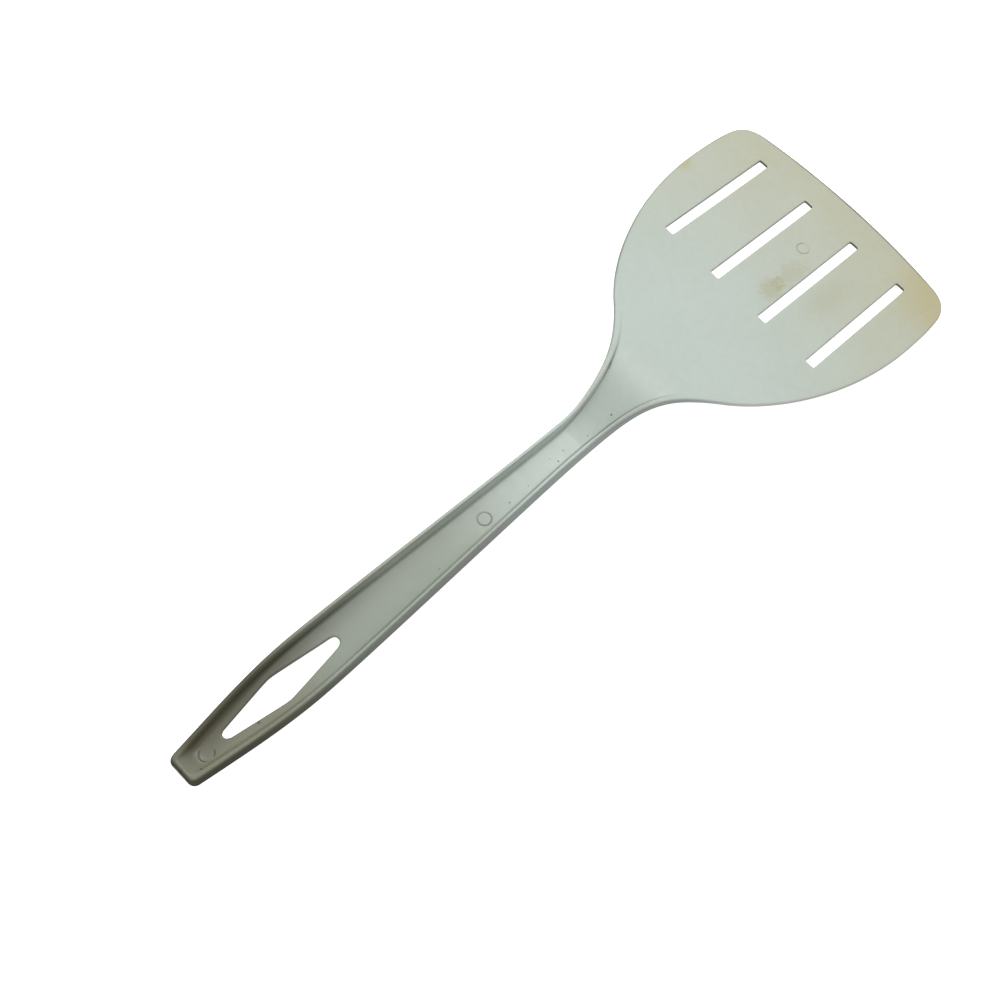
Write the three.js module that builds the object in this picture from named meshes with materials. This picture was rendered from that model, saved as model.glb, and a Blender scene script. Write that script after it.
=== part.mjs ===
// A slotted kitchen turner, moulded in one piece of pale plastic, lying with its channel side up.
// Millimetres. +X runs from the tail of the handle to the tip of the blade, +Y to the left, +Z up.
// The moulding is drawn as a flat pattern and then folded at its two bends. In the flat pattern
// u is the distance from the tail, y the distance from the middle line, and h the height over the
// channel floor, which runs on as the blade's upper face.
import * as THREE from 'three';

// Lengths along the flat pattern
const handleLength = 155.3;
const neckLength = 27.7;
const bladeLength = 123.7;

// Folds, seen from the side
const neckRise = 19.8;
const bladeDrop = 29.7;
const lowerBendRadius = 12;
const upperBendRadius = 15;

// Plates
const webThickness = 1.8;
const bladeThickness = 1.6;

// Handle outline
const tailWidth = 10.65;
const tailCornerRadius = 2.2;
const gripWidth = 19;
const gripStation = 45.5;
const gripEase = 16;
const neckWidth = 13.05;
const waistToBend = 2.3;
const waistEase = 20;

// Blade outline
const shoulderWidth = 48;
const shoulderReach = 16.5;
const shoulderSlope = 44;
const shoulderEase = 19;
const bladeWidth = 99.5;
const widestReach = 92;
const widestEase = 34;
const frontRadius = 234;
const cornerRadius = 10.8;
const cornerInset = 0.8;
const cornerTaper = 9;

// Slots through the blade
const slotCount = 4;
const slotPitch = 21.4;
const slotLength = 56.5;
const slotWidth = 3.6;
const slotCornerRadius = 0.7;
const slotToTip = 13.5;

// Hang hole through the handle
const holeStation = 35.7;
const holeWidth = 8.6;
const holeTailReach = 20.45;
const holeNeckReach = 22.1;
const holeEndRadius = 1.5;

// Rims that stand along both edges, and the wall that closes the tail
const rimHeight = 4.25;
const rimTailHeight = 3;
const rimFullStation = 62;
const rimTopWidth = 1;
const rimOuterLean = 0.7;
const rimInnerLean = 0.75;
const rimEndHeight = 0.4;
const tailWallTop = 1.3;
const tailWallLean = 3.1;
const tailWallEndHeight = 0.3;
const tailWallGap = 0.3;

// Steps that turn curves into facets
const edgeStep = 4;
const bendSteps = 4;
const arcSteps = 10;

const radians = THREE.MathUtils.degToRad;

// Stations along the flat pattern, counted from the tail
const upperBendStation = handleLength + neckLength;
const tipStation = upperBendStation + bladeLength;
const waistStation = handleLength - waistToBend;
const shoulderStation = upperBendStation + shoulderReach;
const widestStation = upperBendStation + widestReach;

// The fold: straight handle, bend up, straight neck, bend down, straight blade
const lowerArc = lowerBendRadius * radians(neckRise);
const upperArc = upperBendRadius * radians(bladeDrop);
const neckStart = handleLength - lowerArc / 2;
const neckEnd = upperBendStation + upperArc / 2;
const neckFlatStart = neckStart + lowerArc;
const neckFlatEnd = neckEnd - upperArc;
const foldRuns = [
  { end: neckStart, bend: 0 },
  { end: neckFlatStart, bend: 1 / lowerBendRadius },
  { end: neckFlatEnd, bend: 0 },
  { end: neckEnd, bend: -1 / upperBendRadius },
  { end: Infinity, bend: 0 },
];

// Walks the side profile to station u and returns the place and slope of the channel floor there.
function profileAt(u, startAngle) {
  let x = 0;
  let z = 0;
  let angle = startAngle;
  let from = 0;
  for (const run of foldRuns) {
    const length = Math.min(u, run.end) - from;
    if (run.bend === 0) {
      x += length * Math.cos(angle);
      z += length * Math.sin(angle);
    } else {
      const turned = angle + run.bend * length;
      x += (Math.sin(turned) - Math.sin(angle)) / run.bend;
      z += (Math.cos(angle) - Math.cos(turned)) / run.bend;
      angle = turned;
    }
    if (u <= run.end) break;
    from = run.end;
  }
  return { x, z, angle };
}

// Lifts a point of the flat pattern onto the folded moulding.
function foldPoint(u, y, h, startAngle) {
  const { x, z, angle } = profileAt(u, startAngle);
  return new THREE.Vector3(x - h * Math.sin(angle), y, z + h * Math.cos(angle));
}

// The handle leans so that the tail and the tip both touch the table.
const tailFoot = foldPoint(0, 0, -webThickness, 0);
const tipFoot = foldPoint(tipStation, 0, -bladeThickness, 0);
const handleAngle = Math.atan2(tailFoot.z - tipFoot.z, tipFoot.x - tailFoot.x);

function fold(u, y, h) {
  return foldPoint(u, y, h, handleAngle);
}

// Left edge of the flat pattern from the tail to the widest part of the blade, as curves of (u, y)
const point = (u, y) => new THREE.Vector2(u, y);
const shoulderRun = Math.cos(radians(shoulderSlope)) * shoulderEase;
const shoulderRise = Math.sin(radians(shoulderSlope)) * shoulderEase;
const edgeCurves = [
  new THREE.CubicBezierCurve(
    point(0, tailWidth / 2),
    point(gripEase, (tailWidth + gripWidth) / 4),
    point(gripStation - gripEase, gripWidth / 2),
    point(gripStation, gripWidth / 2),
  ),
  new THREE.CubicBezierCurve(
    point(gripStation, gripWidth / 2),
    point(gripStation + waistEase, gripWidth / 2),
    point(waistStation - waistEase, neckWidth / 2),
    point(waistStation, neckWidth / 2),
  ),
  new THREE.CubicBezierCurve(
    point(waistStation, neckWidth / 2),
    point(waistStation + waistEase, neckWidth / 2),
    point(shoulderStation - shoulderRun, shoulderWidth / 2 - shoulderRise),
    point(shoulderStation, shoulderWidth / 2),
  ),
  new THREE.CubicBezierCurve(
    point(shoulderStation, shoulderWidth / 2),
    point(shoulderStation + shoulderRun, shoulderWidth / 2 + shoulderRise),
    point(widestStation - widestEase, bladeWidth / 2),
    point(widestStation, bladeWidth / 2),
  ),
];

// Finds where the edge crosses station u, by halving the curve's parameter range.
function edgeAt(u) {
  const curve = edgeCurves.find((candidate) => u <= candidate.v3.x) ?? edgeCurves.at(-1);
  let low = 0;
  let high = 1;
  for (let i = 0; i < 40; i += 1) {
    const middle = (low + high) / 2;
    if (curve.getPoint(middle).x < u) low = middle;
    else high = middle;
  }
  const tangent = curve.getTangent(low);
  return { y: curve.getPoint(low).y, spread: Math.hypot(1, tangent.y / tangent.x) };
}

// Half width of the moulding at station u, with the tail's corners rounded off.
function halfWidth(u) {
  const { y } = edgeAt(u);
  if (u >= tailCornerRadius) return y;
  const short = tailCornerRadius - u;
  return y - tailCornerRadius + Math.sqrt(tailCornerRadius ** 2 - short ** 2);
}

// Evenly spaced stations from start to end, both included.
function stations(start, end, steps) {
  return Array.from({ length: steps + 1 }, (_, i) => start + ((end - start) * i) / steps);
}

function stepsFor(start, end) {
  return Math.max(1, Math.ceil((end - start) / edgeStep));
}

const tailWallFoot = tailWallTop + tailWallLean;
const handleStations = [
  ...stations(0, tailCornerRadius, bendSteps).slice(0, -1),
  ...stations(tailCornerRadius, neckStart, stepsFor(tailCornerRadius, neckStart)),
];
const neckStations = [
  ...stations(neckStart, neckFlatStart, bendSteps).slice(0, -1),
  ...stations(neckFlatStart, neckFlatEnd, stepsFor(neckFlatStart, neckFlatEnd)).slice(0, -1),
  ...stations(neckFlatEnd, neckEnd, bendSteps),
];
const shoulderStations = stations(neckEnd, shoulderStation, stepsFor(neckEnd, shoulderStation));

// Turns a flat pattern shape into a folded plate whose upper face lies at h = 0.
function plate(shape, thickness) {
  const geometry = new THREE.ExtrudeGeometry(shape, {
    depth: thickness,
    bevelEnabled: false,
    curveSegments: arcSteps,
  });
  const positions = geometry.getAttribute('position');
  for (let i = 0; i < positions.count; i += 1) {
    const h = positions.getZ(i) - thickness;
    const folded = fold(positions.getX(i), positions.getY(i), h);
    positions.setXYZ(i, folded.x, folded.y, folded.z);
  }
  geometry.computeVertexNormals();
  return geometry;
}

// Joins convex sections of equal point count into one closed solid. Each section is listed
// anticlockwise as seen from the tail, so that the faces point out.
function loft(sections) {
  const count = sections[0].length;
  const positions = sections.flat().flatMap((corner) => corner.toArray());
  const faces = [];
  for (let s = 0; s + 1 < sections.length; s += 1) {
    for (let i = 0; i < count; i += 1) {
      const a = s * count + i;
      const b = s * count + ((i + 1) % count);
      faces.push(a, a + count, b, b, a + count, b + count);
    }
  }
  const last = (sections.length - 1) * count;
  for (let i = 1; i + 1 < count; i += 1) {
    faces.push(0, i, i + 1);
    faces.push(last, last + i + 1, last + i);
  }
  const geometry = new THREE.BufferGeometry();
  geometry.setAttribute('position', new THREE.Float32BufferAttribute(positions, 3));
  geometry.setIndex(faces);
  geometry.computeVertexNormals();
  return geometry;
}

// One section across the moulding at station u, from (y, h) corners.
function section(u, corners) {
  return corners.map(([y, h]) => fold(u, y, h));
}

function makeHandleWeb() {
  const left = handleStations.map((u) => point(u, halfWidth(u)));
  const right = left.map(({ x, y }) => point(x, -y)).reverse();
  const shape = new THREE.Shape([...right, ...left]);
  shape.holes.push(makeHangHole());
  return plate(shape, webThickness);
}

// A long diamond whose two sharp ends are rounded: straight sides run from the widest point to
// the circle at each end, which they touch.
function makeHangHole() {
  const hole = new THREE.Path();
  const half = holeWidth / 2;
  const touchAngle = (reach) => {
    const run = reach - holeEndRadius;
    return Math.atan2(half, run) + Math.acos(holeEndRadius / Math.hypot(run, half));
  };
  const tailAngle = touchAngle(holeTailReach);
  const neckAngle = touchAngle(holeNeckReach);
  const tailCentre = holeStation - holeTailReach + holeEndRadius;
  const neckCentre = holeStation + holeNeckReach - holeEndRadius;
  hole.absarc(tailCentre, 0, holeEndRadius, tailAngle, 2 * Math.PI - tailAngle);
  hole.lineTo(holeStation, -half);
  hole.absarc(neckCentre, 0, holeEndRadius, neckAngle - Math.PI, Math.PI - neckAngle);
  hole.lineTo(holeStation, half);
  hole.closePath();
  return hole;
}

function makeNeck() {
  const sections = neckStations.map((u) => {
    const share = (u - neckStart) / (neckEnd - neckStart);
    const thickness = THREE.MathUtils.lerp(webThickness, bladeThickness, share);
    const half = halfWidth(u);
    return section(u, [[half, 0], [half, -thickness], [-half, -thickness], [-half, 0]]);
  });
  return loft(sections);
}

function makeBlade() {
  const cornerY = bladeWidth / 2 - cornerInset - cornerRadius;
  const frontCentre = tipStation - frontRadius;
  const cornerReach = frontRadius - cornerRadius;
  const cornerX = frontCentre + Math.sqrt(cornerReach ** 2 - cornerY ** 2);
  const frontAngle = Math.asin(cornerY / cornerReach);
  const sideAngle = Math.PI / 2 - radians(cornerTaper);
  const sideX = cornerX + cornerRadius * Math.cos(sideAngle);
  const sideY = cornerY + cornerRadius * Math.sin(sideAngle);
  const sideEase = (sideX - widestStation) / 3;
  const sideBack = sideY + sideEase * Math.tan(radians(cornerTaper));

  const left = [
    ...shoulderStations,
    ...stations(shoulderStation, widestStation, stepsFor(shoulderStation, widestStation)).slice(1),
  ].map((u) => point(u, halfWidth(u)));
  const shape = new THREE.Shape(left.map(({ x, y }) => point(x, -y)));
  shape.bezierCurveTo(
    widestStation + sideEase, -bladeWidth / 2, sideX - sideEase, -sideBack, sideX, -sideY,
  );
  shape.absarc(cornerX, -cornerY, cornerRadius, -sideAngle, -frontAngle);
  shape.absarc(frontCentre, 0, frontRadius, -frontAngle, frontAngle);
  shape.absarc(cornerX, cornerY, cornerRadius, frontAngle, sideAngle);
  shape.bezierCurveTo(
    sideX - sideEase, sideBack, widestStation + sideEase, bladeWidth / 2,
    widestStation, bladeWidth / 2,
  );
  for (const { x, y } of left.slice(0, -1).reverse()) shape.lineTo(x, y);
  shape.closePath();
  for (let i = 0; i < slotCount; i += 1) {
    shape.holes.push(makeSlot((i - (slotCount - 1) / 2) * slotPitch));
  }
  return plate(shape, bladeThickness);
}

function makeSlot(middle) {
  const end = tipStation - slotToTip;
  const start = end - slotLength;
  const low = middle - slotWidth / 2;
  const high = middle + slotWidth / 2;
  const r = slotCornerRadius;
  const slot = new THREE.Path();
  slot.absarc(end - r, high - r, r, 0, Math.PI / 2);
  slot.absarc(start + r, high - r, r, Math.PI / 2, Math.PI);
  slot.absarc(start + r, low + r, r, Math.PI, 1.5 * Math.PI);
  slot.absarc(end - r, low + r, r, 1.5 * Math.PI, 2 * Math.PI);
  slot.closePath();
  return slot;
}

// Height of the rims: lower at the tail, full along the grip, then falling smoothly to the shoulder
// of the blade.
function rimHeightAt(u) {
  const rise = THREE.MathUtils.smoothstep(u, 0, rimFullStation);
  const fall = THREE.MathUtils.smoothstep(u, neckStart, shoulderStation);
  const full = THREE.MathUtils.lerp(rimTailHeight, rimHeight, rise);
  return THREE.MathUtils.lerp(full, rimEndHeight, fall);
}

// Where a rim's outer and inner faces stand at station u, at the foot and at height h.
function rimFaces(u, h) {
  const { y, spread } = edgeAt(u);
  const outer = halfWidth(u);
  const share = h / rimHeight;
  const footInner = y - (rimTopWidth + rimOuterLean + rimInnerLean) * spread;
  return {
    outer: outer - rimOuterLean * share * spread,
    inner: footInner + rimInnerLean * share * spread,
    outerFoot: outer,
    innerFoot: footInner,
  };
}

// A rim on one side, side being 1 for left and -1 for right.
function makeRim(rimStations, side) {
  const sections = rimStations.map((u) => {
    const h = rimHeightAt(u);
    const { outer, inner, outerFoot, innerFoot } = rimFaces(u, h);
    const corners = [[outerFoot, 0], [innerFoot, 0], [inner, h], [outer, h]];
    const placed = corners.map(([y, height]) => [side * y, height]);
    return section(u, side > 0 ? placed : placed.reverse());
  });
  return loft(sections);
}

// The wall across the tail: upright outside, with a slope inside that runs down to the floor.
function makeTailWall() {
  const rows = [
    [0, rimHeightAt(0)],
    [tailWallTop, rimHeightAt(tailWallTop)],
    [tailWallFoot, tailWallEndHeight],
  ];
  const sections = rows.map(([u, h]) => {
    const { inner, innerFoot } = rimFaces(u, h);
    const foot = innerFoot - tailWallGap;
    const top = inner - tailWallGap;
    return section(u, [[foot, 0], [-foot, 0], [-top, h], [top, h]]);
  });
  return loft(sections);
}

const model = new THREE.Group();

function addPart(name, geometry) {
  const material = new THREE.MeshStandardMaterial({ color: 0xc4ccc2, roughness: 0.45, metalness: 0 });
  const mesh = new THREE.Mesh(geometry, material);
  mesh.name = name;
  model.add(mesh);
}

addPart('handle_web', makeHandleWeb());
addPart('neck', makeNeck());
addPart('blade', makeBlade());
addPart('tail_wall', makeTailWall());
for (const [name, side] of [['left', 1], ['right', -1]]) {
  addPart(`${name}_handle_rim`, makeRim(handleStations, side));
  addPart(`${name}_shoulder_rim`, makeRim([...neckStations, ...shoulderStations.slice(1)], side));
}

// The origin is the middle of the model's footprint, at table height.
const bounds = new THREE.Box3().setFromObject(model);
model.position.set(-(bounds.min.x + bounds.max.x) / 2, 0, -bounds.min.z);

export default model;
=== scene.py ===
import math

import bpy
import numpy as np
from mathutils import Matrix, Vector


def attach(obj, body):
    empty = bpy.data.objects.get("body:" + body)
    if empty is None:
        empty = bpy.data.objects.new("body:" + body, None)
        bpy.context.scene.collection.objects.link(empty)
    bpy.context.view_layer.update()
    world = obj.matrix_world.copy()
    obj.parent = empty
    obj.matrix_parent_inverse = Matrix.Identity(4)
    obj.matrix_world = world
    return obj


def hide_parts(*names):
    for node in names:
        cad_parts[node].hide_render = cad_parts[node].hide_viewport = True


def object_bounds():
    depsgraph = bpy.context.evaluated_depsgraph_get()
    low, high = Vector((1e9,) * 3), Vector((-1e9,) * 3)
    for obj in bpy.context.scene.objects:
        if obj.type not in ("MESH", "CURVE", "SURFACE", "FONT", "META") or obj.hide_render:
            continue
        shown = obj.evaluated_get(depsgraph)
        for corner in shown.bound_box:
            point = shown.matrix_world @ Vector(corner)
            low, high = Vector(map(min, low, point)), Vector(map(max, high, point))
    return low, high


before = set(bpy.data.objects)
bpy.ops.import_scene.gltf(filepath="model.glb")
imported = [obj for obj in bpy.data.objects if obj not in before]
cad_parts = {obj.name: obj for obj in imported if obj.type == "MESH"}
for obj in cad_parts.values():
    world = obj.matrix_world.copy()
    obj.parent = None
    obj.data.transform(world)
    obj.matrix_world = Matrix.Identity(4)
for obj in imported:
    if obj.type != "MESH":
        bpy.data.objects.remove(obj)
cad_low, cad_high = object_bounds()

MM = 0.001

# Sizes of the moulding in millimetres and degrees. u runs from the tail, y from the middle line
# to the left, and h up from the channel floor, all in the flat pattern before it is folded.
HANDLE_LENGTH = 155.3
NECK_LENGTH = 27.7
BLADE_LENGTH = 123.7
NECK_FOOT_RISE = 9.0
NECK_CREST_RISE = 27.0
BLADE_FALL = 9.9
BEND_RADIUS = 5.0
CREST_REACH = 14.7
CREST_LENGTH = 2.5
FALL_REACH = 9.5
WEB_THICKNESS = 1.8
BLADE_THICKNESS = 1.6

# Handle outline
TAIL_WIDTH = 10.65
TAIL_CORNER_RADIUS = 2.2
GRIP_WIDTH = 19.0
GRIP_STATION = 45.5
GRIP_EASE = 16.0
NECK_WIDTH = 13.05
WAIST_TO_BEND = 2.3
WAIST_EASE = 20.0

# Blade outline
SHOULDER_WIDTH = 48.0
SHOULDER_REACH = 16.5
SHOULDER_SLOPE = 44.0
SHOULDER_EASE = 19.0
BLADE_WIDTH = 99.5
WIDEST_REACH = 92.0
WIDEST_EASE = 34.0
FRONT_RADIUS = 234.0
CORNER_RADIUS = 10.8
CORNER_INSET = 0.8
CORNER_TAPER = 9.0
CORNER_MIDDLE = 47.0

# Slots and hang hole. The last three sizes of the stagger are in slot pitches from the middle line.
SLOT_PITCH = 21.4
SLOT_LENGTH = 56.5
SLOT_WIDTH = 3.6
SLOT_CORNER_RADIUS = 0.7
SLOT_TO_TIP = 13.5
SLOT_STAGGER = 1.05
STAGGER_RUN = 10.0
STAGGER_FULL = 1.4
STAGGER_HOLD = 1.7
STAGGER_END = 2.05
SLOT_UNDERCUT = 0.5
UNDERCUT_RUN = 3.0
HOLE_STATION = 35.7
HOLE_WIDTH = 8.6
HOLE_TAIL_REACH = 20.45
HOLE_NECK_REACH = 22.1
HOLE_TAIL_RADIUS = 1.3
HOLE_NECK_RADIUS = 1.6
HOLE_BLUNT = 0.35
HOLE_END_REACH = 1.6
HOLE_SIDE_ROUNDING = 1.2
HOLE_UNDERCUT = 0.9
HOLE_UNDERCUT_WIDTH = 4.0

# Rims and tail slope. The sizes in threes are for the tail, the grip and the neck.
RIM_HEIGHT = 4.25
RIM_TAIL_HEIGHT = 2.8
RIM_FULL_STATION = 62.0
RIM_FALL_STATION = 141.0
RIM_FADE_REACH = 2.0
RIM_TOP_WIDTH = (0.6, 1.2, 0.8)
RIM_OUTER_LEAN = (1.2, 0.7, 1.0)
RIM_INNER_LEAN = (1.4, 0.55, 0.45)
RIM_INNER_SHARE = 0.4
RIM_TAIL_STATION = 8.0
RIM_GRIP_STATION = 45.0
RIM_NECK_LEAD = 4.0
RIM_NECK_RUN = 10.0
TAIL_TOP = 0.9
TAIL_FOOT = 6.2
TAIL_SOFTNESS = 0.8

# Rounded edges
BACK_ROUNDING = 0.5
RIM_TOP_ROUNDING = (0.3, 0.4, 0.7)
RIM_OUTER_ROUNDING = (0.9, 1.3, 2.4)
RIM_INNER_ROUNDING = 1.3
RIM_FOOT_ROUNDING = (1.8, 0.9, 0.5)
BLADE_ROUNDING = 0.75
OPENING_ROUNDING = 0.3
FRONT_ROUNDING = 0.45
TAIL_ROUNDING = 1.0
ROUNDING_LIMIT = 0.45

# Rows from the slots' ends to the front: the gap before them, the power by which they bow at the
# sides, and the gap square to the front as a share of the one along the pattern
FRONT_ROW_GAP = 1.5
FRONT_BOW = 6
FRONT_SQUARE = 0.97

# Lanes on the handle: how the first spreads ahead of the hang hole and up to what share of the floor,
# the least gap that it leaves at the rim's foot, and the shares at which the key lanes lie
LANE_SPREAD = 0.5
LANE_SHARE = 0.3
LANE_GAP = 0.4
KEY_LANES = (0, 0.3, 0.55, 0.8)

# Ejector rings, and the cosines between which one runs out on one side
RING_WIDTH = 0.5
RING_HEIGHT = 0.15
RING_GAP = (0.3, 0.8)

# Line of grime and painted shade at the rims' feet, where the corner is shaded: its width, where it
# starts to fade upwards and over what height, and the rim heights and the station from which it gathers
FOOT_LINE_WIDTH = 0.4
FOOT_LINE_TOP = 0.2
FOOT_LINE_FADE = 1.2
FOOT_LINE_RIMS = (0.3, 2.0)
FOOT_LINE_STATION = 18.0

# A darker line at the blade's front edge, painted shade on the rounding of its left edge, and the marks
# of outer walls. Shares run from the slots' ends to the front, and lanes are counted in from the outer
# edge.
# How dark the line along the blade's front edge is
FRONT_LINE_DARKENING = 1.0
FRONT_LINE_SHARES = (0.9, 0.975)
FRONT_WALL_SHARES = (0.982, 0.999)
FRONT_WALL_CLEAN = 0.75
# Painted shade on the lit rounding of the blade's left edge
LEFT_EDGE_PAINTED_SHADE = 0.3
LEFT_LINE_LANES = (9.5, 7)
LEFT_LINE_STATIONS = (200, 215)
WALL_LANES = (9, 4)
WALL_TAIL_STATIONS = (0.9, 0.1)

# Floor, in metres
FLOOR_REACH = 1.6
FLOOR_SWEEP = 0.6
FLOOR_WALL = 2.4

# Stations along the flat pattern
UPPER_BEND = HANDLE_LENGTH + NECK_LENGTH
TIP = UPPER_BEND + BLADE_LENGTH
WAIST = HANDLE_LENGTH - WAIST_TO_BEND
SHOULDER = UPPER_BEND + SHOULDER_REACH
WIDEST = UPPER_BEND + WIDEST_REACH
SLOT_END = TIP - SLOT_TO_TIP
SLOT_START = SLOT_END - SLOT_LENGTH
BEND_ARC = BEND_RADIUS * math.radians(NECK_FOOT_RISE)
NECK_START = HANDLE_LENGTH - BEND_ARC / 2
NECK_CREST = HANDLE_LENGTH + CREST_REACH
CREST_END = NECK_CREST + CREST_LENGTH
NECK_END = UPPER_BEND + FALL_REACH


def ease(low, high, value):
    """Rises from 0 at low to 1 at high as 3 t squared less 2 t cubed."""
    t = np.clip((value - low) / (high - low), 0, 1)
    return t * t * (3 - 2 * t)


def bezier(points, count=80):
    """A cubic curve: each of four points weighted by its Bernstein term at count even steps."""
    t = np.linspace(0, 1, count)[:, None]
    a, b, c, d = np.asarray(points, float)
    return (1 - t) ** 3 * a + 3 * t * (1 - t) ** 2 * b + 3 * t**2 * (1 - t) * c + t**3 * d


def steps(start, end, spacing):
    """Even stations from start up to, but not including, end."""
    count = max(1, round((end - start) / spacing))
    return np.linspace(start, end, count, endpoint=False)


# Side profile: the slope turns through a tight bend at the neck's foot, climbs to the crest and then
# eases down to the blade's fall. The place is the running sum of the slope's cosine and sine.
WALK = np.linspace(0, TIP, 6000)
BEND_SHARE = np.clip((WALK - NECK_START) / BEND_ARC, 0, 1)
CLIMB = (NECK_CREST_RISE - NECK_FOOT_RISE) * ease(HANDLE_LENGTH, NECK_CREST, WALK)
FALL = (NECK_CREST_RISE + BLADE_FALL) * ease(CREST_END, NECK_END, WALK)
TURN = np.radians(NECK_FOOT_RISE * BEND_SHARE + CLIMB - FALL)


def walk_profile(lean):
    """Adds up steps of the profile, its slope being the turn plus the lean of the handle."""
    middle = (TURN[1:] + TURN[:-1]) / 2 + lean
    step = WALK[1] - WALK[0]
    x = np.concatenate([[0], np.cumsum(np.cos(middle)) * step])
    z = np.concatenate([[0], np.cumsum(np.sin(middle)) * step])
    return x, z, TURN + lean


def level_lean():
    """The lean that puts the under edges of the tail and of the tip at one height."""
    x, z, slope = walk_profile(0.0)
    run = x[-1] + BLADE_THICKNESS * math.sin(slope[-1])
    rise = z[-1] - BLADE_THICKNESS * math.cos(slope[-1]) + WEB_THICKNESS
    return math.atan2(-rise, run)


LEAN = level_lean()
PROFILE_X, PROFILE_Z, PROFILE_SLOPE = walk_profile(LEAN)
SHIFT_X = cad_low.x / MM + RIM_TAIL_HEIGHT * math.sin(LEAN)
SHIFT_Z = WEB_THICKNESS * math.cos(LEAN)


def fold(u, y, h):
    """Carries (u, y, h) onto the profile: along it by u, across by y, and out along its normal by h."""
    slope = np.interp(u, WALK, PROFILE_SLOPE)
    x = np.interp(u, WALK, PROFILE_X) - h * np.sin(slope) + SHIFT_X
    z = np.interp(u, WALK, PROFILE_Z) + h * np.cos(slope) + SHIFT_Z
    return np.stack([x, y + 0 * x, z], -1)


# Outline of the flat pattern, left side: curves from the tail to the middle of the front corner,
# then the front from there to the middle line
SHOULDER_RUN = SHOULDER_EASE * math.cos(math.radians(SHOULDER_SLOPE))
SHOULDER_RISE = SHOULDER_EASE * math.sin(math.radians(SHOULDER_SLOPE))
CORNER_Y = BLADE_WIDTH / 2 - CORNER_INSET - CORNER_RADIUS
FRONT_CENTRE = TIP - FRONT_RADIUS
CORNER_X = FRONT_CENTRE + math.sqrt((FRONT_RADIUS - CORNER_RADIUS) ** 2 - CORNER_Y**2)
FRONT_ANGLE = math.asin(CORNER_Y / (FRONT_RADIUS - CORNER_RADIUS))
SIDE_ANGLE = math.pi / 2 - math.radians(CORNER_TAPER)
HALF_ANGLE = math.radians(CORNER_MIDDLE)
SIDE_X = CORNER_X + CORNER_RADIUS * math.cos(SIDE_ANGLE)
SIDE_Y = CORNER_Y + CORNER_RADIUS * math.sin(SIDE_ANGLE)
SIDE_EASE = (SIDE_X - WIDEST) / 3
SIDE_BACK = SIDE_Y + SIDE_EASE * math.tan(math.radians(CORNER_TAPER))


def corner_arc(start, end, count=60):
    """Points on the front corner's circle from one angle to another."""
    angle = np.linspace(start, end, count)
    return np.stack(
        [CORNER_X + CORNER_RADIUS * np.cos(angle), CORNER_Y + CORNER_RADIUS * np.sin(angle)], -1
    )


TAIL_POINT = (0, TAIL_WIDTH / 2)
GRIP_POINT = (GRIP_STATION, GRIP_WIDTH / 2)
WAIST_POINT = (WAIST, NECK_WIDTH / 2)
SHOULDER_POINT = (SHOULDER, SHOULDER_WIDTH / 2)
WIDEST_POINT = (WIDEST, BLADE_WIDTH / 2)
SIDE = np.concatenate([
    bezier([TAIL_POINT, (GRIP_EASE, (TAIL_WIDTH + GRIP_WIDTH) / 4),
            (GRIP_STATION - GRIP_EASE, GRIP_WIDTH / 2), GRIP_POINT])[:-1],
    bezier([GRIP_POINT, (GRIP_STATION + WAIST_EASE, GRIP_WIDTH / 2),
            (WAIST - WAIST_EASE, NECK_WIDTH / 2), WAIST_POINT])[:-1],
    bezier([WAIST_POINT, (WAIST + WAIST_EASE, NECK_WIDTH / 2),
            (SHOULDER - SHOULDER_RUN, SHOULDER_WIDTH / 2 - SHOULDER_RISE), SHOULDER_POINT])[:-1],
    bezier([SHOULDER_POINT, (SHOULDER + SHOULDER_RUN, SHOULDER_WIDTH / 2 + SHOULDER_RISE),
            (WIDEST - WIDEST_EASE, BLADE_WIDTH / 2), WIDEST_POINT])[:-1],
    bezier([WIDEST_POINT, (WIDEST + SIDE_EASE, BLADE_WIDTH / 2),
            (SIDE_X - SIDE_EASE, SIDE_BACK), (SIDE_X, SIDE_Y)])[:-1],
    corner_arc(SIDE_ANGLE, HALF_ANGLE),
])
SIDE_LEAN = np.gradient(SIDE[:, 1], SIDE[:, 0])
FRONT_SWEEP = np.linspace(FRONT_ANGLE, 0, 160)
FRONT = np.concatenate([
    corner_arc(HALF_ANGLE, FRONT_ANGLE)[:-1],
    np.stack([FRONT_CENTRE + FRONT_RADIUS * np.cos(FRONT_SWEEP),
              FRONT_RADIUS * np.sin(FRONT_SWEEP)], -1),
])[::-1]


def edge(u):
    """Half width of the pattern at station u before the tail's corners are rounded."""
    return np.interp(u, SIDE[:, 0], SIDE[:, 1])


def half_width(u):
    """The edge, drawn in at the tail by the sagitta of the tail's corner circle."""
    short = np.clip(TAIL_CORNER_RADIUS - u, 0, None)
    return edge(u) - TAIL_CORNER_RADIUS + np.sqrt(TAIL_CORNER_RADIUS**2 - short**2)


def slot_half(u):
    """Half width of a slot: full along it, and a quarter circle at each end."""
    inside = np.clip(np.minimum(u - SLOT_START, SLOT_END - u), 0, SLOT_CORNER_RADIUS)
    sag = SLOT_CORNER_RADIUS - np.sqrt(SLOT_CORNER_RADIUS**2 - (SLOT_CORNER_RADIUS - inside) ** 2)
    return SLOT_WIDTH / 2 - sag


HOLE_START = HOLE_STATION - HOLE_TAIL_REACH
HOLE_END = HOLE_STATION + HOLE_NECK_REACH


def hole_slope(reach, radius):
    """How fast the hole narrows: the tangent of the line from its widest point to its end circle."""
    run = reach - radius
    far = math.hypot(run, HOLE_WIDTH / 2)
    return math.tan(math.atan2(HOLE_WIDTH / 2, run) - math.asin(radius / far))


def hole_radius(u):
    """Radius of the hole's end circle on the side of the hole's middle where u lies."""
    return np.where(u < HOLE_STATION, HOLE_TAIL_RADIUS, HOLE_NECK_RADIUS)


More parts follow.
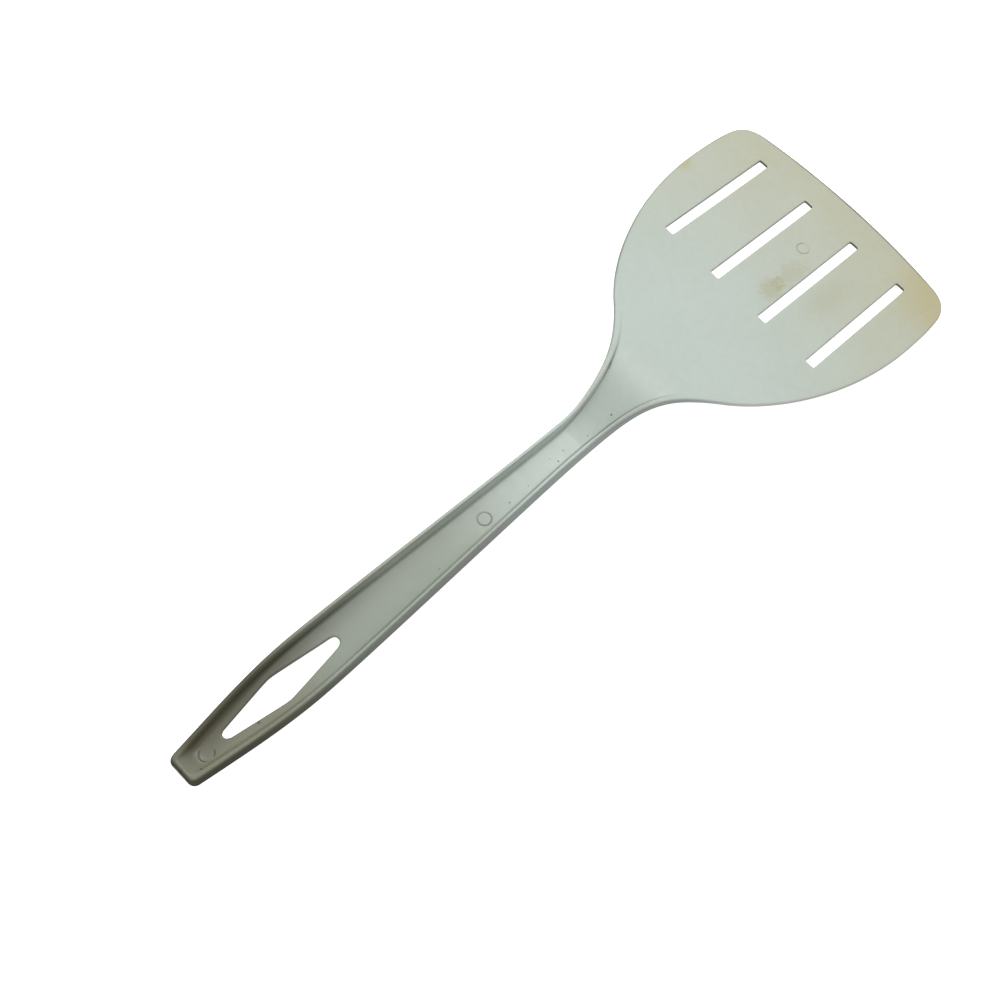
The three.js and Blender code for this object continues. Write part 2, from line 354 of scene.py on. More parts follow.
def hole_half(u):
    """Half width of the hang hole: two flanks that meet in a soft corner, cut by the end circles."""
    tail_slope = hole_slope(HOLE_TAIL_REACH, HOLE_TAIL_RADIUS)
    neck_slope = hole_slope(HOLE_NECK_REACH, HOLE_NECK_RADIUS)
    away = u - HOLE_STATION
    radius = hole_radius(u)
    soft = np.sqrt(away**2 + HOLE_SIDE_ROUNDING**2) - HOLE_SIDE_ROUNDING
    flank = HOLE_WIDTH / 2 - (tail_slope + neck_slope) / 2 * soft
    flank = flank - (neck_slope - tail_slope) / 2 * away
    inset = np.clip(np.minimum(u - HOLE_START, HOLE_END - u), 0, radius)
    circle = np.sqrt(radius**2 - (radius - inset) ** 2)
    circle = np.where(inset < radius, circle, np.inf)
    return np.maximum(np.minimum(flank, circle), HOLE_BLUNT)


def rounding(distance, radius):
    """How far a rounded edge has dropped at a distance in from it: a quarter circle's sagitta."""
    short = np.clip(radius - distance, 0, radius)
    return radius - np.sqrt(radius**2 - short**2)


def rim_height(u):
    """Height of the rims: lower at the tail, full along the grip, nothing past the shoulder."""
    full = RIM_TAIL_HEIGHT + (RIM_HEIGHT - RIM_TAIL_HEIGHT) * ease(0, RIM_FULL_STATION, u)
    return full * ease(SHOULDER + RIM_FADE_REACH, RIM_FALL_STATION, u)


def floor_height(u):
    """Height of the channel floor: a slope down from the tail's top, softened where it levels off."""
    slope = RIM_TAIL_HEIGHT * (TAIL_FOOT - u) / (TAIL_FOOT - TAIL_TOP)
    soft = (slope + np.sqrt(slope**2 + TAIL_SOFTNESS**2)) / 2
    return np.minimum(soft * ease(2 * TAIL_FOOT, TAIL_FOOT, u), rim_height(u))


def rim_size(sizes, u):
    """A size of the rims at station u, eased from the tail's to the grip's and on to the neck's."""
    tail, grip, neck = sizes
    size = grip + (tail - grip) * ease(RIM_GRIP_STATION, RIM_TAIL_STATION, u)
    return size + (neck - grip) * ease(NECK_START - RIM_NECK_LEAD, NECK_START + RIM_NECK_RUN, u)


def corner_draw(u):
    """How far the tail's corners draw the section in, as a share of its width."""
    return half_width(u) / edge(u)


def edge_spread(u):
    """Width across the pattern of one unit square to the edge, drawn in at the tail."""
    return np.hypot(1, np.interp(u, SIDE[:, 0], SIDE_LEAN)) * corner_draw(u)


def rim_foot(u):
    """Distance from the middle line to the foot of the rim: the half width less the rim's full width."""
    width = rim_size(RIM_TOP_WIDTH, u) + rim_size(RIM_OUTER_LEAN, u) + rim_size(RIM_INNER_LEAN, u)
    return half_width(u) - width * edge_spread(u)


def thickness(u):
    """Thickness of the plate, eased from the handle's to the blade's over the neck."""
    return WEB_THICKNESS + (BLADE_THICKNESS - WEB_THICKNESS) * ease(NECK_START, NECK_END, u)


# Stations of the rows: close together round openings, bends and ends, wide apart on flat runs
QUARTER = np.radians(np.linspace(0, 90, 6))
EDGE_OFFSETS = OPENING_ROUNDING * np.array([2.5, 1.0, 0.3])
SLOT_TURN = SLOT_CORNER_RADIUS * (1 - np.cos(QUARTER))
TAIL_BLUNT = HOLE_TAIL_RADIUS - math.sqrt(HOLE_TAIL_RADIUS**2 - HOLE_BLUNT**2)
NECK_BLUNT = HOLE_NECK_RADIUS - math.sqrt(HOLE_NECK_RADIUS**2 - HOLE_BLUNT**2)
HOLE_FIRST = HOLE_START + TAIL_BLUNT
HOLE_LAST = HOLE_END - NECK_BLUNT
TAIL_SWEEP = (HOLE_TAIL_RADIUS * HOLE_END_REACH - TAIL_BLUNT) * (1 - np.cos(QUARTER))
NECK_SWEEP = (HOLE_NECK_RADIUS * HOLE_END_REACH - NECK_BLUNT) * (1 - np.cos(QUARTER))
BEND_SPACE = 0.2
FRONT_START = SLOT_END + FRONT_ROW_GAP
ROWS = np.concatenate([
    TAIL_CORNER_RADIUS * (1 - np.cos(np.radians(np.linspace(0, 90, 10)))),
    steps(TAIL_CORNER_RADIUS, TAIL_FOOT + 2, 0.45)[1:],
    steps(TAIL_FOOT + 2, HOLE_FIRST - EDGE_OFFSETS[0], 1.2),
    HOLE_FIRST - EDGE_OFFSETS,
    HOLE_FIRST + TAIL_SWEEP,
    steps(HOLE_FIRST + TAIL_SWEEP[-1], HOLE_LAST - NECK_SWEEP[-1], 1.3)[1:],
    HOLE_LAST - NECK_SWEEP[::-1],
    HOLE_LAST + EDGE_OFFSETS[::-1],
    steps(HOLE_LAST + EDGE_OFFSETS[0], NECK_START - 2, 2.0)[1:],
    steps(NECK_START - 2, NECK_START - 0.2, 0.6),
    steps(NECK_START - 0.2, NECK_START + BEND_ARC + 0.2, BEND_SPACE),
    steps(NECK_START + BEND_ARC + 0.2, SHOULDER + 8, 0.8),
    steps(SHOULDER + 8, SLOT_START - EDGE_OFFSETS[0], 1.8),
    SLOT_START - EDGE_OFFSETS,
    SLOT_START + SLOT_TURN,
    steps(SLOT_START + SLOT_TURN[-1], SLOT_END - SLOT_TURN[-1], 2.4)[1:],
    SLOT_END - SLOT_TURN[::-1],
    SLOT_END + EDGE_OFFSETS[::-1],
    [FRONT_START],
])
FRONT_SHARES = np.concatenate([np.linspace(0, 0.86, 9)[1:], [0.92, 0.955, 0.975, 0.988, 0.996, 1.0]])

# The front rows' ends lie on the outline between the last straight row and the front corner
FRONT_WAY = np.concatenate([[[FRONT_START, edge(FRONT_START)]], SIDE[SIDE[:, 0] > FRONT_START]])
WAY_LENGTH = np.concatenate([[0], np.cumsum(np.hypot(*np.diff(FRONT_WAY, axis=0).T))])
FRONT_END_U = np.interp(FRONT_SHARES, WAY_LENGTH / WAY_LENGTH[-1], FRONT_WAY[:, 0])
ROW_U = np.concatenate([ROWS, FRONT_END_U])
ROW_SHARE = np.concatenate([np.zeros(len(ROWS)), FRONT_SHARES])


def bent(before, corner, after, count):
    """Rounds a corner: a quadratic curve from one cut point to the other with the corner as its pole."""
    t = np.linspace(0, 1, count)[None, :, None]
    return (1 - t) ** 2 * before[:, None] + 2 * t * (1 - t) * corner[:, None] + t**2 * after[:, None]


def toward(start, end, length):
    """The point at a length from start on the way to end, never past the limit's share of it."""
    gap = end - start
    far = np.linalg.norm(gap, axis=1)
    return start + gap * (np.minimum(length, ROUNDING_LIMIT * far) / np.maximum(far, 1e-9))[:, None]


def rim_section(u):
    """The left edge's section, as (y, h) from the back face over the rim to the channel floor.

    Four corners, at the back, the rim's outer and inner top and the rim's foot, each rounded by a
    quadratic curve, at all stations at once.
    """
    half = half_width(u)
    foot = rim_foot(u)
    spread = edge_spread(u)
    draw = corner_draw(u)
    rim = rim_height(u)
    share = rim / RIM_HEIGHT
    outer_round = BLADE_ROUNDING * (1 - share) + rim_size(RIM_OUTER_ROUNDING, u) * share
    top_round = BLADE_ROUNDING * (1 - share) + rim_size(RIM_TOP_ROUNDING, u) * share
    foot_round = rim_size(RIM_FOOT_ROUNDING, u)
    back = np.stack([half, -thickness(u)], 1)
    outer = np.stack([half - rim_size(RIM_OUTER_LEAN, u) * share * spread, rim], 1)
    inner_lean = rim_size(RIM_INNER_LEAN, u) * np.maximum(share, RIM_INNER_SHARE)
    inner = np.stack([foot + inner_lean * spread, rim], 1)
    base = np.stack([foot, floor_height(u)], 1)
    back_in = np.stack([half - BACK_ROUNDING * draw, -thickness(u)], 1)
    floor_in = base - np.stack([foot_round * draw, 0 * u], 1)
    return np.concatenate([
        bent(back_in, back, toward(back, outer, BACK_ROUNDING), 5),
        bent(toward(outer, back, outer_round), outer, toward(outer, inner, top_round), 5),
        bent(toward(inner, outer, top_round), inner, toward(inner, base, RIM_INNER_ROUNDING), 5),
        bent(toward(base, inner, foot_round), base, floor_in, 7),
    ], 1)


def strip(low, high, count):
    """Lanes from low to high: close to both ends where edges are rounded, even between."""
    reach = np.minimum(EDGE_OFFSETS[0], 0.2 * (high - low)) / EDGE_OFFSETS[0]
    near = EDGE_OFFSETS[::-1, None] * reach
    between = np.linspace(0, 1, count + 2)[1:-1, None]
    start, end = low + near[-1], high - near[-1]
    return np.concatenate([[low], low + near, start + (end - start) * between, high - near[::-1]]).T


def floor_lanes(u, outer):
    """Left half of the lanes across the floor, from the middle line out to the rim's foot.

    Four lanes are key lines. On the blade they are the edges of the two left slots. On the handle
    the first is the edge of the hang hole and the others are even. Between the two they are eased.
    """
    past = np.clip(np.maximum(HOLE_START - u, u - HOLE_END), 0, None)
    ahead = np.minimum(HOLE_BLUNT + LANE_SPREAD * past, LANE_SHARE * outer)
    hole_edge = np.minimum(np.where(past > 0, ahead, hole_half(u)), outer - LANE_GAP)
    share = np.array(KEY_LANES)[:, None]
    handle = hole_edge + (outer - hole_edge) * share
    inner_slot, outer_slot = SLOT_PITCH / 2, 1.5 * SLOT_PITCH
    half = slot_half(u)
    blade = np.stack([inner_slot - half, inner_slot + half, outer_slot - half, outer_slot + half])
    onto = ease(SHOULDER, SLOT_START - 2, u)
    keys = handle * (1 - onto) + blade * onto
    zero = np.zeros_like(u)
    bands = [(zero, keys[0], 3), (keys[0], keys[1], 1), (keys[1], keys[2], 5),
             (keys[2], keys[3], 1), (keys[3], outer, 4)]
    lanes = [strip(low, high, count) for low, high, count in bands]
    starts = np.cumsum([lane.shape[1] for lane in lanes])[:-1]
    return np.concatenate(lanes, 1), starts


def opening_distance(u, y):
    """Distance out from the nearest slot or hang hole: a rounded box's distance, or a flank's."""
    beside = np.abs(np.abs(y) - SLOT_PITCH) - SLOT_PITCH / 2
    beside = np.abs(beside) - SLOT_WIDTH / 2 + SLOT_CORNER_RADIUS
    along = np.maximum(SLOT_START - u, u - SLOT_END) + SLOT_CORNER_RADIUS
    slot = np.hypot(np.clip(beside, 0, None), np.clip(along, 0, None)) - SLOT_CORNER_RADIUS
    middle = np.clip(u, HOLE_START + HOLE_TAIL_RADIUS, HOLE_END - HOLE_NECK_RADIUS)
    flank = np.hypot(u - middle, y) - hole_radius(u)
    flank = np.where(middle == u, np.abs(y) - hole_half(u), flank)
    return np.clip(np.minimum(slot, flank), 0, None)


def grid_sections():
    """Places (y, h) of two grids over (row, lane), the number of rim lanes, and where key lanes start.

    Both grids have the same lanes from the left edge to the right one. The upper grid climbs over
    the rims and crosses the floor, and the lower one is the back face.
    """
    side = rim_section(ROW_U)
    lanes, starts = floor_lanes(ROW_U, side[:, -1, 0])
    left_y = np.concatenate([side[:, :, 0], lanes[:, :0:-1]], 1)
    upper_y = np.concatenate([left_y, lanes[:, :1], -left_y[:, ::-1]], 1)
    count = side.shape[1]
    wide = upper_y.shape[1]
    upper_h = np.repeat(floor_height(ROW_U)[:, None], wide, 1)
    upper_h[:, :count] = side[:, :, 1]
    upper_h[:, -count:] = side[:, ::-1, 1]
    across = np.linspace(0, 1, count)
    lower_y = upper_y.copy()
    lower_y[:, :count] = side[:, :1, 0] * (1 - across) + side[:, -1:, 0] * across
    lower_y[:, -count:] = -lower_y[:, count - 1::-1]
    lower_h = np.repeat(-thickness(ROW_U)[:, None], wide, 1)
    return np.stack([upper_y, lower_y]), np.stack([upper_h, lower_h]), count, starts


def grid_stations(y):
    """Station of each point, and of the front ahead of it.

    Up to the slots' ends it is the row's own. From there it is a share of the way to the curved front,
    bowed at the sides so that each row ends on the outline.
    """
    share = ROW_SHARE[None, :, None]
    outward = np.abs(y) / half_width(ROW_U)[None, :, None]
    front_u = np.interp(outward * SIDE[-1, 1], FRONT[:, 1], FRONT[:, 0])
    even = FRONT_START + (front_u - FRONT_START) * share
    slack = ROW_U - FRONT_START - (SIDE[-1, 0] - FRONT_START) * ROW_SHARE
    bowed = even + slack[None, :, None] * outward**FRONT_BOW
    return np.where(share > 0, bowed, ROW_U[None, :, None]), front_u


def close_ends(u, h, front_u):
    """Draws the heights towards the section's middle by the rounding of the front and of the tail."""
    gap = np.maximum(front_u - u, 0) * FRONT_SQUARE
    closing = rounding(gap, FRONT_ROUNDING) / (BLADE_THICKNESS / 2)
    tail_close = rounding(u, TAIL_ROUNDING) / ((RIM_TAIL_HEIGHT + WEB_THICKNESS) / 2)
    blade_middle = -BLADE_THICKNESS / 2
    tail_middle = (RIM_TAIL_HEIGHT - WEB_THICKNESS) / 2
    in_front = ROW_SHARE[None, :, None] > 0
    h = np.where(in_front, blade_middle + (h - blade_middle) * (1 - closing), h)
    return np.where(u < TAIL_ROUNDING, tail_middle + (h - tail_middle) * (1 - tail_close), h)


def slide_openings(u, y):
    """Shifts stations round the openings, each shift fading as a bell curve of the distance.

    The left slots start a little nearer the tip, and the far end walls lean away underneath.
    """
    pitches = y / SLOT_PITCH
    left = ease(0, STAGGER_FULL, pitches) * ease(STAGGER_END, STAGGER_HOLD, pitches)
    u = u + SLOT_STAGGER * left * np.exp(-(((u - SLOT_START) / STAGGER_RUN) ** 2))
    u[1] += SLOT_UNDERCUT * np.exp(-(((u[1] - SLOT_END) / UNDERCUT_RUN) ** 2))
    beyond = ((u[1] - HOLE_LAST) / UNDERCUT_RUN) ** 2
    u[1] += HOLE_UNDERCUT * np.exp(-beyond - (y[1] / HOLE_UNDERCUT_WIDTH) ** 2)
    return u


def kept_cells(wide, starts):
    """Which cells of the grids are plastic: all but those inside the hang hole and the slots."""
    middle = (ROW_U[1:] + ROW_U[:-1]) / 2
    slot_rows = (middle > SLOT_START) & (middle < SLOT_END)
    hole_rows = (middle > HOLE_FIRST) & (middle < HOLE_LAST)
    centre = wide // 2
    k1, k2, k3, k4 = starts
    keep = np.ones((len(ROW_U) - 1, wide - 1), bool)
    keep[np.ix_(hole_rows, np.arange(centre - k1, centre + k1))] = False
    for low, high in ((k1, k2), (k3, k4)):
        keep[np.ix_(slot_rows, np.arange(centre + low, centre + high))] = False
        keep[np.ix_(slot_rows, np.arange(centre - high, centre - low))] = False
    return keep


def moulding_surface():
    """The whole moulding as two grids of (u, y, h), and which of their cells are plastic.

    The grids join at the outer edge and at the openings, where heights drop by the rounding.
    """
    y, h, count, starts = grid_sections()
    wide = y.shape[2]
    u, front_u = grid_stations(y)
    drop = rounding(opening_distance(u, y), OPENING_ROUNDING)
    drop[:, :, :count - 1] = 0
    drop[:, :, wide - count + 1:] = 0
    h = close_ends(u, np.stack([h[0] - drop[0], h[1] + drop[1]]), front_u)
    return slide_openings(u, y), y, h, kept_cells(wide, starts)


def quads(a, b, c, d):
    """Rows of four vertex numbers from four equal arrays."""
    return np.stack([a.ravel(), b.ravel(), c.ravel(), d.ravel()], 1)


def moulding_faces(rows, wide, keep):
    """Faces of both grids where kept, walls round the openings, and strips across the two ends."""
    upper = np.arange(rows * wide).reshape(rows, wide)
    lower = upper + rows * wide
    lower[:, 0], lower[:, -1] = upper[:, 0], upper[:, -1]
    made = []
    for grid, turned in ((upper, True), (lower, False)):
        a, b, c, d = grid[:-1, :-1], grid[1:, :-1], grid[1:, 1:], grid[:-1, 1:]
        corners = (a, d, c, b) if turned else (a, b, c, d)
        made.append(quads(*[corner[keep] for corner in corners]))
    i, j = np.nonzero(keep[:, :-1] & ~keep[:, 1:])
    made.append(quads(upper[i, j + 1], lower[i, j + 1], lower[i + 1, j + 1], upper[i + 1, j + 1]))
    i, j = np.nonzero(~keep[:, :-1] & keep[:, 1:])
    made.append(quads(upper[i, j + 1], upper[i + 1, j + 1], lower[i + 1, j + 1], lower[i, j + 1]))
    i, j = np.nonzero(keep[:-1] & ~keep[1:])
    made.append(quads(upper[i + 1, j], upper[i + 1, j + 1], lower[i + 1, j + 1], lower[i + 1, j]))
    i, j = np.nonzero(~keep[:-1] & keep[1:])
    made.append(quads(upper[i + 1, j], lower[i + 1, j], lower[i + 1, j + 1], upper[i + 1, j + 1]))
    inner = slice(1, -2)
    after = slice(2, -1)
    made.append(quads(upper[0, inner], lower[0, inner], lower[0, after], upper[0, after]))
    made.append(quads(upper[-1, inner], upper[-1, after], lower[-1, after], lower[-1, inner]))
    ends = [
        [upper[0, 0], lower[0, 1], upper[0, 1]],
        [upper[0, -1], upper[0, -2], lower[0, -2]],
        [upper[-1, 0], upper[-1, 1], lower[-1, 1]],
        [upper[-1, -1], lower[-1, -2], upper[-1, -2]],
    ]
    return np.concatenate(made).tolist() + [[int(v) for v in end] for end in ends]


def add_piece(name, flat, faces, marks):
    """A mesh object from flat pattern places, folded, with the places and marks kept as attributes."""
    mesh = bpy.data.meshes.new(name)
    mesh.from_pydata(fold(*flat.T) * MM, [], faces)
    place = mesh.attributes.new("flat_place", "FLOAT_VECTOR", "POINT")
    place.data.foreach_set("vector", flat.astype(np.float32).ravel())
    for mark, values in marks.items():
        layer = mesh.attributes.new(mark, "FLOAT", "POINT")
        layer.data.foreach_set("value", values.astype(np.float32).ravel())
    mesh.shade_smooth()
    piece = bpy.data.objects.new(name, mesh)
    bpy.context.collection.objects.link(piece)
    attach(piece, "root")
    return piece


def drop_loose(flat, faces, marks):
    """Leaves out the points that no face uses and renumbers the faces."""
    used = np.zeros(len(flat), bool)
    used[np.concatenate([np.asarray(face) for face in faces])] = True
    number = np.cumsum(used) - 1
    renumbered = [number[face].tolist() for face in faces]
    return flat[used], renumbered, {mark: values[used] for mark, values in marks.items()}


def grime_and_shade_lines(y, h):
    """Grime and painted shade on the upper grid: lines at the rims' feet, a darker line at the blade's
    front edge, and painted shade along its left edge.

    The line at a foot is a bell curve of the distance from it and fades upwards.
    """
    from_foot = (np.abs(y) - rim_foot(ROW_U)[:, None]) / FOOT_LINE_WIDTH
    low = 1 - np.clip((h - FOOT_LINE_TOP) / FOOT_LINE_FADE, 0, 1)
    held = ease(*FOOT_LINE_RIMS, rim_height(ROW_U)) * ease(FOOT_LINE_STATION, RIM_GRIP_STATION, ROW_U)
    # The line at a foot is grime plus painted shade in the corner
    foot = np.exp(-(from_foot**2)) * low * held[:, None]
    wall = ease(*FRONT_WALL_SHARES, ROW_SHARE)
    front = ease(*FRONT_LINE_SHARES, ROW_SHARE) * (1 - FRONT_WALL_CLEAN * wall)
    left = ease(*LEFT_LINE_LANES, lanes_in(y)) * (y > 0) * ease(*LEFT_LINE_STATIONS, ROW_U)[:, None]
    return np.maximum(np.maximum(foot, FRONT_LINE_DARKENING * front[:, None]), LEFT_EDGE_PAINTED_SHADE * left)


def lanes_in(y):
    """How many lanes each lane lies in from the nearer outer edge."""
    lane = np.arange(y.shape[1])
    return np.minimum(lane, lane[::-1])[None]


def outer_walls(y):
    """1 on the upper grid's outer walls and across the tail's end, fading over the rims' tops."""
    return np.maximum(ease(*WALL_LANES, lanes_in(y)), ease(*WALL_TAIL_STATIONS, ROW_U)[:, None])


def make_moulding():
    """Builds the moulding with marks for its grime and painted shade, its upper side and its outer walls.
    """
    u, y, h, keep = moulding_surface()
    faces = moulding_faces(u.shape[1], u.shape[2], keep)
    flat = np.stack([u, y, h], -1).reshape(-1, 3)
    upper_marks = {
        "grime_shade_mark": grime_and_shade_lines(y[0], h[0]),
        "upper_side": np.ones_like(y[0]),
        "outer_wall": outer_walls(y[0]),
    }
    marks = {mark: np.stack([values, 0 * values]).ravel() for mark, values in upper_marks.items()}
    flat, faces, marks = drop_loose(flat, faces, marks)
    return add_piece("moulding", flat, faces, marks)


def make_ring(name, u, y, along, across, grime_with_shade, sunk=0.0, gap_turn=0.0):
    """A moulded ejector ring: a flat ellipse carried round a near circle on the floor, half sunk in it.

    On one side, at the gap's turn in degrees from ahead, it can be sunk further, where it runs out.
    """
    turn, wrap = np.meshgrid(
        np.linspace(0, 2 * np.pi, 72, endpoint=False),
        np.linspace(0, 2 * np.pi, 10, endpoint=False),
        indexing="ij",
    )
    out = RING_WIDTH / 2 * np.cos(wrap)
    ring_u = u + (along + out) * np.cos(turn)
    ring_y = y + (across + out) * np.sin(turn)
    gap = ease(*RING_GAP, np.cos(turn - math.radians(gap_turn)))
    up = floor_height(ring_u) + RING_HEIGHT * np.sin(wrap) - sunk * gap
    flat = np.stack([ring_u, ring_y, up], -1)
    number = np.arange(turn.size).reshape(turn.shape)
    ahead = np.roll(number, -1, 0)
    faces = quads(number, ahead, np.roll(ahead, -1, 1), np.roll(number, -1, 1)).tolist()
    marks = {
        # The ring's mark darkens it: grime plus painted shade in the small relief
        "grime_shade_mark": np.full(turn.size, grime_with_shade),
        "upper_side": np.ones(turn.size),
        "outer_wall": np.zeros(turn.size),
    }
    return add_piece(name, flat.reshape(-1, 3), faces, marks)


class Term:
    """A shader socket that takes part in Python arithmetic, each operator adding one Math node."""

    def __init__(self, finish, socket):
        self.finish = finish
        self.socket = socket

    def math(self, operation, first, second):
        """One Math node on two terms or numbers."""
        settings = {"operation": operation}
        return self.finish.node("ShaderNodeMath", settings, {0: first, 1: second})

    def __add__(self, other):
        return self.math("ADD", self, other)

    __radd__ = __add__

    def __sub__(self, other):
        return self.math("SUBTRACT", self, other)

    def __rsub__(self, other):
        return self.math("SUBTRACT", other, self)

    def __mul__(self, other):
        return self.math("MULTIPLY", self, other)

    __rmul__ = __mul__


class Finish:
    """A material whose nodes are added one call at a time."""

    def __init__(self, name):
        self.material = bpy.data.materials.new(name)
        self.material.use_nodes = True
        self.tree = self.material.node_tree
        self.shader = self.tree.nodes["Principled BSDF"]

    def node(self, kind, settings, sockets, output=0):
        """Adds a node, sets it up, then gives each named or numbered socket a value or a link."""
        made = self.tree.nodes.new(kind)
        for key, value in settings.items():
            setattr(made, key, value)
        for key, value in sockets.items():
            self.feed(made.inputs[key], value)
        return Term(self, made.outputs[output])

    def feed(self, socket, value):
        """Links a term to the socket, or sets the socket to a value."""
        if isinstance(value, Term):
            self.tree.links.new(value.socket, socket)
        else:
            socket.default_value = value

    def mix(self, below, above, factor):
        """Goes from one colour to the other by the factor."""
        sockets = {0: factor, 6: below, 7: above}
        return self.node("ShaderNodeMix", {"data_type": "RGBA"}, sockets, 2)

    def attribute(self, name, output):
        """A mark of the mesh: output 1 gives a place and output 2 a number."""
        return self.node("ShaderNodeAttribute", {"attribute_name": name}, {}, output)

    def rise(self, value, low, high):
        """0 below low and 1 above high, eased between; with low above high it falls."""
        settings = {"interpolation_type": "SMOOTHSTEP"}
        if low < high:
            return self.node("ShaderNodeMapRange", settings, {0: value, 1: low, 2: high})
        return 1 - self.node("ShaderNodeMapRange", settings, {0: value, 1: high, 2: low})

    def between(self, value, start, full, hold, end):
        """Rises from start to full, stays at 1 and falls from hold to end."""
        return self.rise(value, start, full) * self.rise(value, end, hold)

    def noise(self, place, scale, detail, rough=0.5):
        """Soft noise over the place, about 0.5."""
        sockets = {"Vector": place, "Scale": scale, "Detail": detail, "Roughness": rough}
        return self.node("ShaderNodeTexNoise", {}, sockets)

    def stretched(self, place, scale):
        """The place scaled apart along the pattern's axes, for streaks."""
        return self.node("ShaderNodeVectorMath", {"operation": "MULTIPLY"}, {0: place, 1: scale})

    def distance(self, place, centre, scale=(1, 1, 0)):
        """Distance across the pattern from a centre, with each axis scaled first."""
        offset = self.node("ShaderNodeVectorMath", {"operation": "SUBTRACT"}, {0: place, 1: centre})
        spread = self.stretched(offset, scale)
        return self.node("ShaderNodeVectorMath", {"operation": "LENGTH"}, {0: spread}, 1)


def rgb(red, green, blue):
    """A linear colour with full alpha from display values of 0 to 255."""
    shown = np.array([red, green, blue]) / 255
    linear = np.where(shown <= 0.04045, shown / 12.92, ((shown + 0.055) / 1.055) ** 2.4)
    return (*linear.tolist(), 1.0)


# Colours of the plastic, of what has stained it, and of painted light and shade on it
PALE = rgb(190, 201, 194)
PALE_SHADE = rgb(186, 197, 189)
# Painted light: a near-white that lifts walls which sit in shade
PAINTED_LIGHT = rgb(246, 248, 242)
# Rubbed wear on the rims and grey shoulders; also painted shade on the blade's left edge
RUBBED_AND_SHADE = rgb(166, 167, 150)
# Handle tones that darken towards the tail: discoloration plus painted shade
HANDLED_AND_SHADE = rgb(145, 153, 140)
OLIVE = rgb(130, 131, 111)
# Soiled tone, also painted shade on the left side of the handle near the tail
SOILED_AND_SHADE = rgb(84, 81, 63)
KHAKI = rgb(184, 178, 142)
BROWN = rgb(170, 168, 132)
OCHRE = rgb(184, 176, 128)
# Grime, also used as painted shade in corners, on the slots' end walls and on the outer walls
GRIME_AND_SHADE = rgb(72, 70, 54)
SPECK = rgb(44, 46, 40)

# Where tones start and are full, as stations, heights or distances. Four values also give where they
# fade again.
RAISED_HEIGHTS = (0.6, 2.4)
RUBBED_STATIONS = (140, 60)
HANDLED_SHADE_STATIONS = (148, 92)
OLIVE_STATIONS = (54, 32)
SOILED_SHADE_STATIONS = (100, 30)
SOILED_SHADE_SIDE = (-6, 6)
SOILED_SHADE_RIMS = (25, 60)
SOILED_SHADE_TAIL = (1, 8)
DUST_HEIGHTS = (0.2, 1.2)
CAKED_SHADE_STATIONS = (98, 5)
PAINTED_LIGHT_EDGE_STATIONS = (186, 206)
LEFT_EDGE_SHADE_STATIONS = (196, 215)
YELLOW_STATIONS = (188, 225)
YELLOW_FROM_NECK = (25, 135)
YELLOW_FROM_CORNER = (26, 4)
# Stations and heights of the painted light on the handle's left inner wall
INNER_WALL_STATIONS = (60, 88, 175, 185)
INNER_WALL_HEIGHTS = (0.1, 0.9, 2.7, 3.9)
SHOULDER_STATIONS = (158, 170, 196, 206)
SHOULDER_HEIGHTS = (0.3, 1.4)
SLOT_WALL_SHADE_STATIONS = (288, 292)
THICK_STATIONS = (122, 140)
THIN_STATIONS = (186, 172)
SCUFF_STATIONS = (190, 235)
SATIN_STATIONS = (155, 182)

# Places that the yellowing is measured from
YELLOW_CORNER = (302, -46, 0)
YELLOW_NECK = (183, 0, 0)

# Stains on the blade: the centre, the scale of the distance from it, how much the coarse and the fine
# noise roughen it, the scaled distances where it starts and is full, and its strength
BROWN_STAINS = {
    "blotch": ((250.2, -4.6, 0), (0.17, 0.24, 0), 1.6, 1.3, 1.25, 0.5, 0.5),
    "trail": ((261.5, -5.0, 0), (0.085, 0.23, 0), 2.6, 1.8, 1.1, 0.3, 0.4),
    "faint": ((265.0, -19.3, 0), (0.055, 0.14, 0), 2.0, 1.6, 1.1, 0.2, 0.3),
}
OCHRE_SPOT = ((266.2, 48.4, 0), (0.22, 0.3, 0), 1.6, 0.0, 1.2, 0.1, 0.6)

# Small dark specks pressed into the plastic, as (u, y) places with their radii
SPECKS = {
    "handle": (94.3, -3.8, 0.25),
    "web_one": (125.2, -2.3, 0.35),
    "web_two": (133.5, -2.2, 0.22),
    "web_three": (146.4, -2.4, 0.4),
    "web_four": (150.2, -0.9, 0.3),
    "web_five": (144.9, -0.1, 0.2),
    "neck_one": (159.4, -2.5, 0.22),
    "neck_two": (169.2, -3.0, 0.4),
    "crease_one": (179.1, 7.7, 0.24),
    "crease_two": (179.7, 8.0, 0.28),
    "crease_three": (180.3, 8.35, 0.28),
    "crease_four": (180.8, 8.65, 0.22),
    "hole_edge": (25.0, -3.4, 0.5),
    "tail": (4.7, -3.2, 0.4),
}


